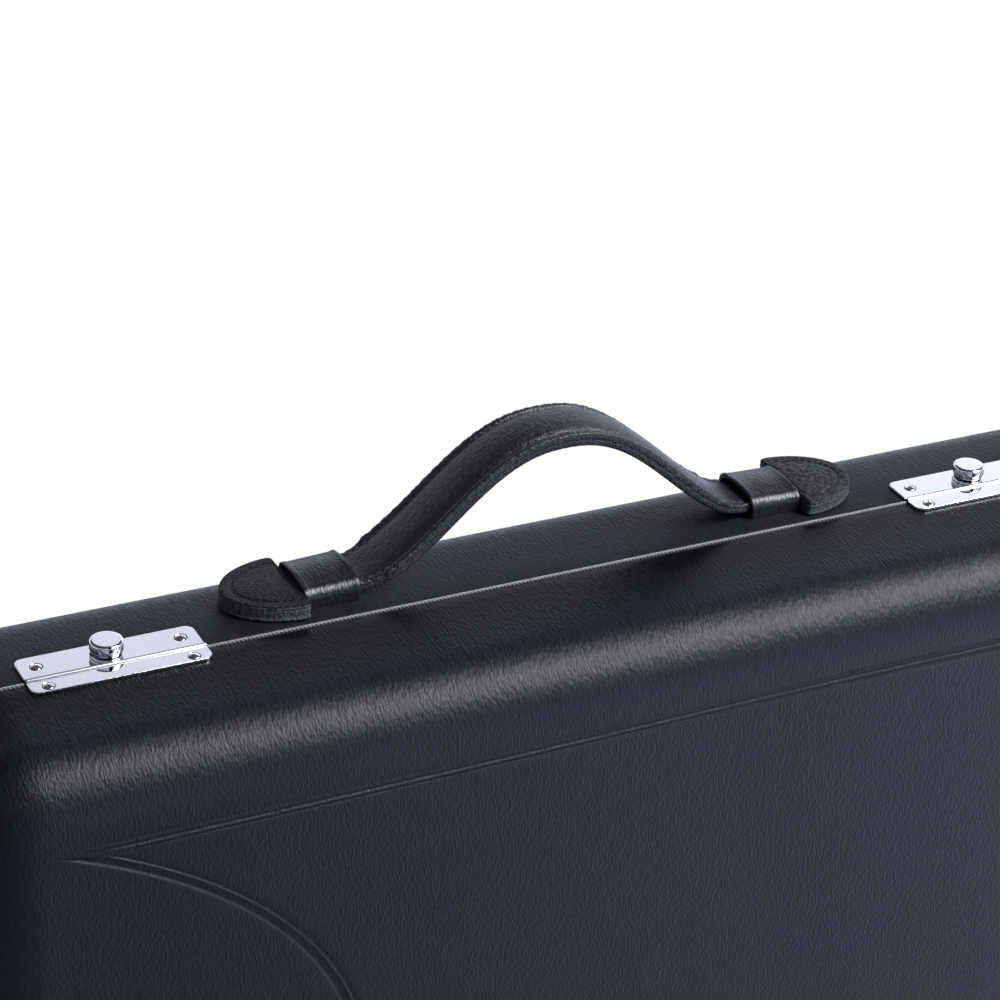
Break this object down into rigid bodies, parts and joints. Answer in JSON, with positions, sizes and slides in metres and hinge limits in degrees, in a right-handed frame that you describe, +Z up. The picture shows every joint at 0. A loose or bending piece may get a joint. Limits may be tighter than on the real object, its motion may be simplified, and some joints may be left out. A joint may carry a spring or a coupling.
{
  "type": "clarinet case",
  "caption": "Hard attache-style case for a clarinet: two rounded leatherette halves with hinges, slide latches, a padded strap handle and a fitted plush insert.",
  "frame": {"origin": "on the ground, midway along the case and in the plane of the seam between base and lid", "axes": "+X along the case, +Y through the base half to its flat back, +Z up from the hinge side to the handle"},
  "size_m": [0.381, 0.088, 0.2818],
  "materials": {
    "leatherette": "fine grained, semi-matt",
    "handle_leather": "smooth with stitched edges, satin",
    "piping": "satin",
    "chrome": "mirror polished",
    "inner_steel": "zinc plated",
    "hinge_steel": "nickel plated",
    "shell_board": "thin plywood shell",
    "rim_plastic": "satin",
    "plush": "short velvet pile",
    "foot_rubber": "matt"
  },
  "bodies": {
    "base": {"base_shell": "shell_board", "base_covering": "leatherette", "base_rim": "rim_plastic", "base_insert": "plush", "lock_plate_left": "chrome", "lock_plate_right": "chrome", "lock_housing_left": "inner_steel", "lock_housing_right": "inner_steel", "lock_spring_left": "inner_steel", "lock_spring_right": "inner_steel", "lock_screws": "chrome", "handle_strap": "handle_leather", "handle_pad": "handle_leather", "handle_loop_left": "handle_leather", "handle_loop_right": "handle_leather", "loop_anchor_left": "inner_steel", "loop_anchor_right": "inner_steel", "loop_rivets": "inner_steel", "hinge_base_leaf_left": "hinge_steel", "hinge_base_leaf_right": "hinge_steel", "hinge_pin_left": "hinge_steel", "hinge_pin_right": "hinge_steel", "hinge_base_screws": "hinge_steel", "base_feet": "foot_rubber"},
    "lid": {"lid_shell": "shell_board", "lid_covering": "leatherette", "lid_lining": "plush", "lid_pad": "plush", "seam_piping": "piping", "keeper_plate_left": "chrome", "keeper_plate_right": "chrome", "hasp_left": "inner_steel", "hasp_right": "inner_steel", "keeper_screws": "chrome", "hinge_lid_leaf_left": "hinge_steel", "hinge_lid_leaf_right": "hinge_steel", "hinge_lid_screws": "hinge_steel", "lid_feet": "foot_rubber"},
    "latch_left": {"knob_left": "chrome", "slide_bolt_left": "inner_steel"},
    "latch_right": {"knob_right": "chrome", "slide_bolt_right": "inner_steel"},
    "handle_end_left": {"handle_end_left": "handle_leather"},
    "handle_end_right": {"handle_end_right": "handle_leather"}
  },
  "joints": [
    {"name": "lid_hinge", "type": "hinge", "parent": "base", "child": "lid", "pos_m": [0, 0, 0.0029], "axis": [1, 0, 0], "range_deg": [0, 100]},
    {"name": "latch_left_slide", "type": "slide", "parent": "base", "child": "latch_left", "axis": [-1, 0, 0], "range_m": [0, 0.003], "stiffness_N_per_m": 300, "springref_m": -0.003},
    {"name": "latch_right_slide", "type": "slide", "parent": "base", "child": "latch_right", "axis": [1, 0, 0], "range_m": [0, 0.003], "stiffness_N_per_m": 300, "springref_m": -0.003},
    {"name": "handle_left_slide", "type": "slide", "parent": "base", "child": "handle_end_left", "axis": [-1, 0, 0], "range_m": [0, 0.005], "deforming": ["handle_strap", "handle_pad"]},
    {"name": "handle_right_slide", "type": "slide", "parent": "base", "child": "handle_end_right", "axis": [1, 0, 0], "range_m": [0, 0.005]}
  ],
  "couplings": [
    {"joint": "handle_right_slide", "follows": "handle_left_slide", "ratio": 1}
  ]
}
